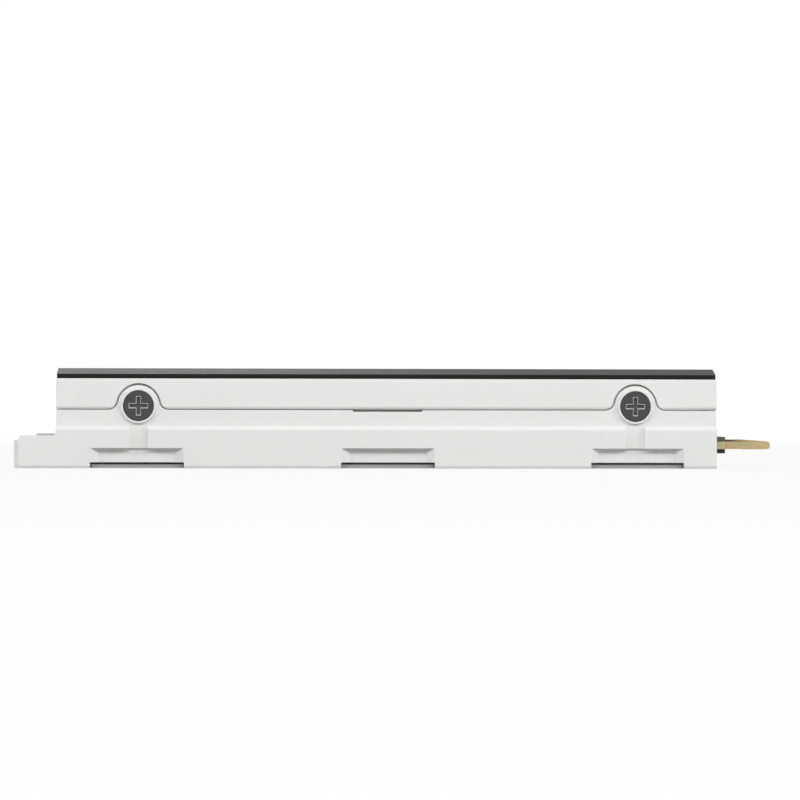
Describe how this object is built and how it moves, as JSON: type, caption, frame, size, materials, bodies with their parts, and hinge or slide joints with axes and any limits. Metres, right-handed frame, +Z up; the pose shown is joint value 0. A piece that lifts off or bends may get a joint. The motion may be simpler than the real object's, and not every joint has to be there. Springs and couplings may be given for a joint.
{
  "type": "gumstick solid state drive",
  "caption": "Slim solid state drive module: a keyed circuit board clamped in a white split heatsink with a dark bevelled top plate and side screws.",
  "frame": {"origin": "under the middle of the whole drive, on the plane that the tray stands on", "axes": "+X towards the edge connector, +Y across the board, +Z up through the top plate"},
  "size_m": [0.08, 0.0242, 0.0105],
  "materials": {
    "white_shell": "fine matt white coating",
    "dark_plate": "satin black coating",
    "adhesive_film": "matt film",
    "plain_metal": "plain grey metal",
    "black_screw": "black coating, bare at the recess's edges",
    "dark_foam": "matt foam",
    "thermal_pad": "matt silicone",
    "circuit_board": "black mask with tan cut edges",
    "gold": "plated",
    "chip_case": "moulded",
    "ceramic": "fired ceramic",
    "resistor_film": "glazed",
    "ferrite": "pressed powder",
    "can_metal": "plain"
  },
  "bodies": {
    "root": {"base_plate": "plain_metal", "bottom_thermal_pad": "thermal_pad", "capacitor_1": "ceramic", "capacitor_10": "ceramic", "capacitor_11": "ceramic", "capacitor_12": "ceramic", "capacitor_2": "ceramic", "capacitor_3": "ceramic", "capacitor_4": "ceramic", "capacitor_5": "ceramic", "capacitor_6": "ceramic", "capacitor_7": "ceramic", "capacitor_8": "ceramic", "capacitor_9": "ceramic", "circuit_board": "circuit_board", "clock_crystal": "can_metal", "contacts_bottom": "gold", "contacts_top": "gold", "controller_chip": "chip_case", "end_seal": "dark_foam", "flash_chip_1": "chip_case", "flash_chip_2": "chip_case", "ground_ring_bottom": "gold", "ground_ring_top": "gold", "heatsink": "white_shell", "inductor_1": "ferrite", "inductor_2": "ferrite", "inductor_3": "ferrite", "plate_adhesive": "adhesive_film", "power_chip": "chip_case", "resistor_1": "resistor_film", "resistor_2": "resistor_film", "resistor_3": "resistor_film", "resistor_4": "resistor_film", "resistor_5": "resistor_film", "resistor_6": "resistor_film", "resistor_7": "resistor_film", "resistor_8": "resistor_film", "side_screws": "black_screw", "temperature_sensor": "chip_case", "top_plate": "dark_plate", "top_thermal_pad": "thermal_pad", "tray": "white_shell"}
  },
  "joints": []
}
